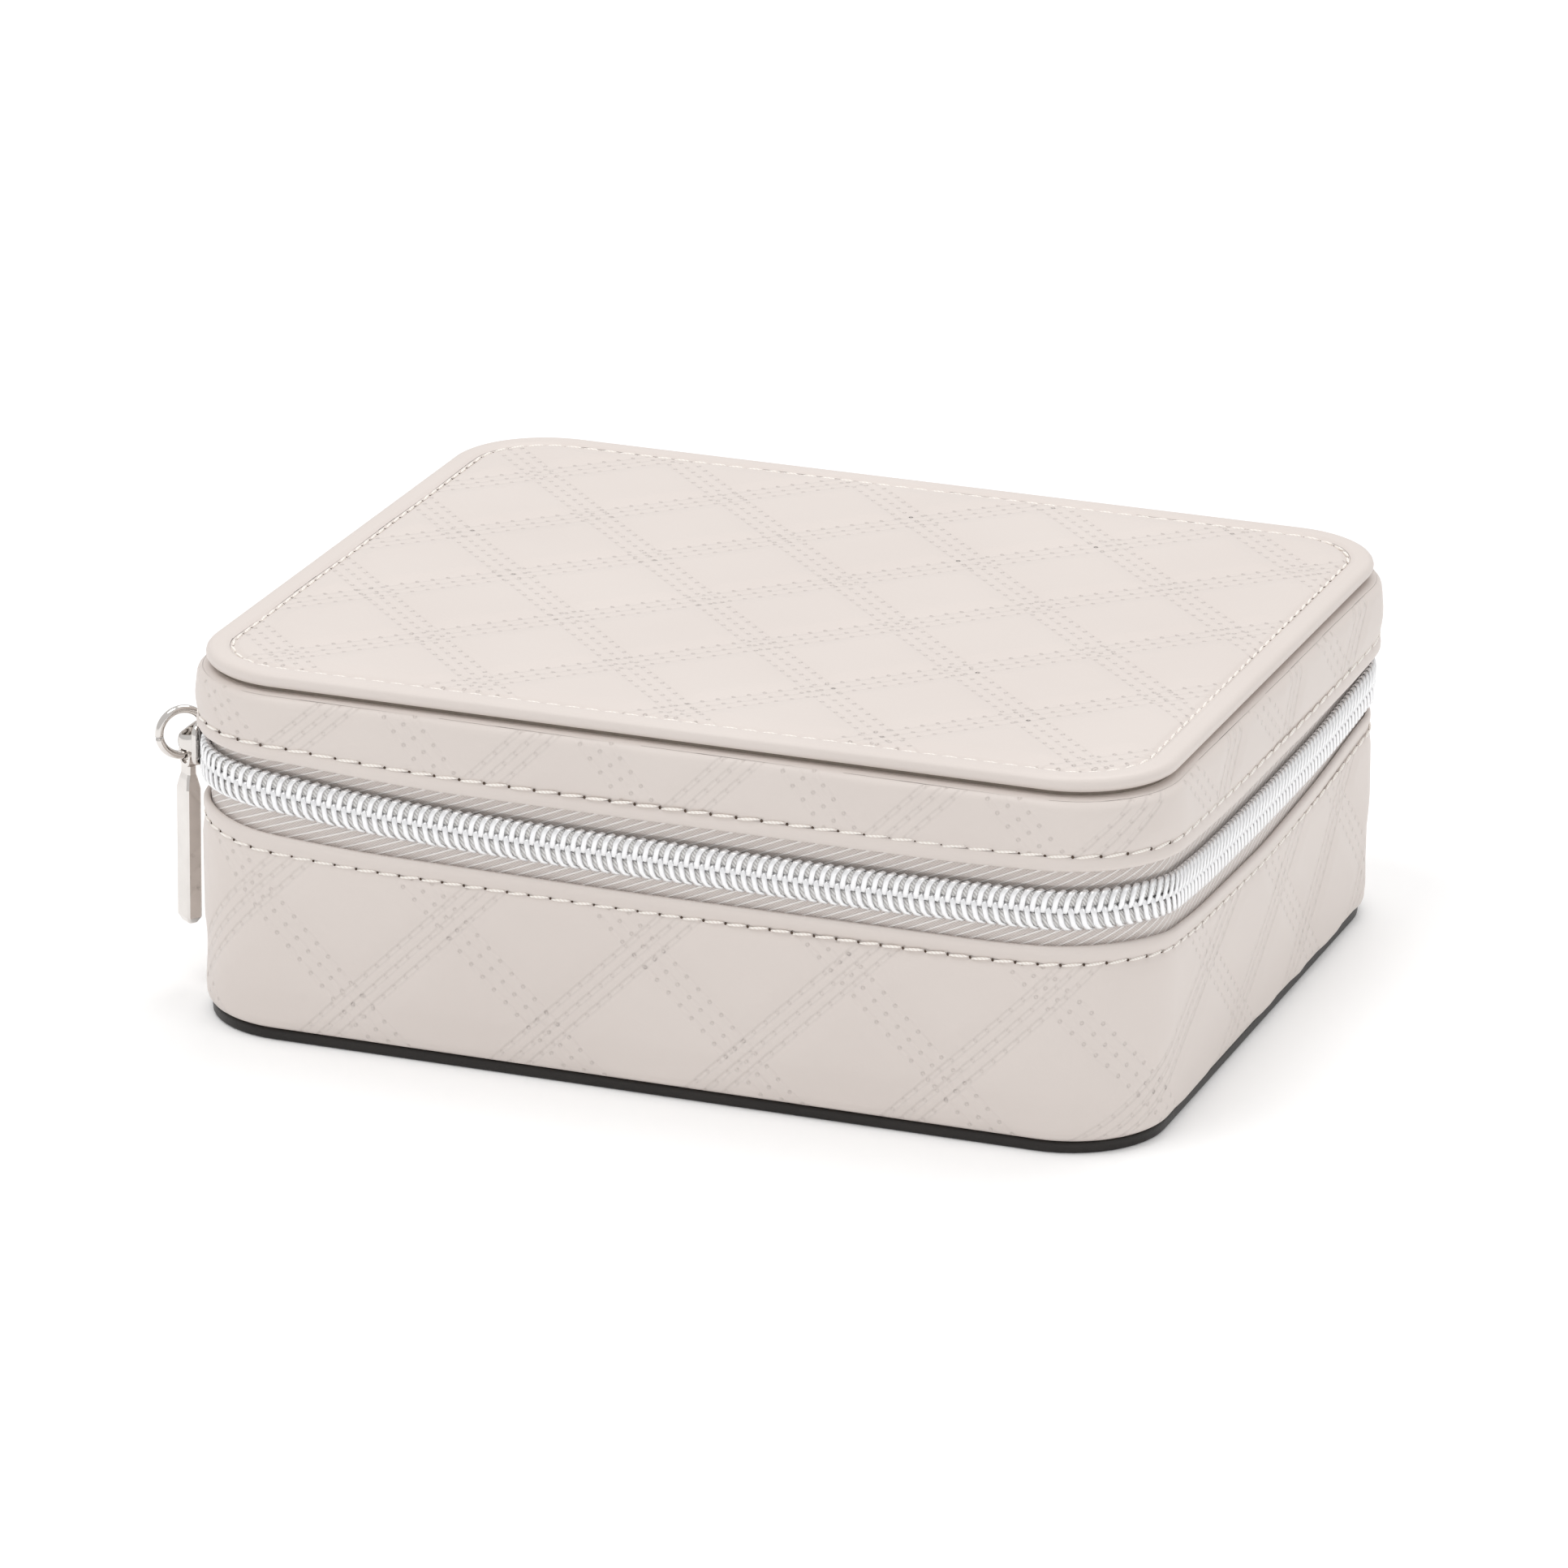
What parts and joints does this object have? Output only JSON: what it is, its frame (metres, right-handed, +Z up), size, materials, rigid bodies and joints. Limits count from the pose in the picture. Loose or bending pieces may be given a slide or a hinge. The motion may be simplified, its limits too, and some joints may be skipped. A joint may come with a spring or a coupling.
{
  "type": "jewellery case",
  "caption": "Zip-round leather jewellery case with a quilted padded lid, back spine hinge, ring bed, divided trays and a lid mirror.",
  "frame": {"origin": "middle of the base panel's underside, where the case rests, below the middle of the body", "axes": "+X to the right along the case's length, +Y from the front to the hinged back, +Z up"},
  "size_m": [0.1611, 0.1282, 0.0577],
  "materials": {
    "quilted_leather": "pale stone leather, embossed with quilting lines",
    "plain_leather": "smooth pale stone leather",
    "black_leatherette": "black satin leatherette with a fine grain",
    "suede": "soft stone suede lining",
    "board": "stiff grey board",
    "zip_tape": "woven herringbone tape",
    "coil": "metallised silver nylon coil",
    "nickel": "polished nickel plate",
    "mirror_glass": "silvered glass"
  },
  "bodies": {
    "case_body": {"base_panel": "black_leatherette", "body_board": "board", "body_cover": "quilted_leather", "body_lining": "suede", "floor_pad": "suede", "inner_collar": "suede", "divider_long": "suede", "divider_front": "suede", "divider_rear": "suede", "divider_short": "suede", "ring_roll_1": "suede", "ring_roll_2": "suede", "ring_roll_3": "suede", "ring_roll_4": "suede", "ring_roll_5": "suede", "ring_roll_6": "suede", "ring_roll_7": "suede", "ring_roll_8": "suede", "lower_zip_tape": "zip_tape", "lower_coil": "coil", "zip_bottom_stop": "nickel", "lower_top_stop": "nickel", "spine_lower_leaf": "plain_leather"},
    "lid": {"lid_board": "board", "lid_cover": "quilted_leather", "top_panel": "quilted_leather", "lid_lining": "suede", "mirror_frame": "plain_leather", "mirror": "mirror_glass", "upper_zip_tape": "zip_tape", "upper_coil": "coil", "upper_top_stop": "nickel", "spine_upper_leaf": "plain_leather"},
    "slider": {"slider_body": "nickel"},
    "ring": {"jump_ring": "nickel"},
    "pull": {"pull_bar": "nickel"}
  },
  "joints": [
    {"name": "lid_hinge", "type": "hinge", "parent": "case_body", "child": "lid", "pos_m": [0, 0.06205, 0.0362], "axis": [-1, 0, 0], "range_deg": [0, 105]},
    {"name": "slider_travel", "type": "slide", "parent": "case_body", "child": "slider", "axis": [0, 1, 0], "range_m": [0, 0.087]},
    {"name": "ring_swing", "type": "hinge", "parent": "slider", "child": "ring", "pos_m": [-0.07865, -0.0429, 0.0401], "axis": [0, 0, 1], "range_deg": [-50, 18]},
    {"name": "pull_swing", "type": "hinge", "parent": "ring", "child": "pull", "pos_m": [-0.08063, -0.04469, 0.03662], "axis": [0.7431, 0.6691, 0], "range_deg": [-5, 80]}
  ]
}
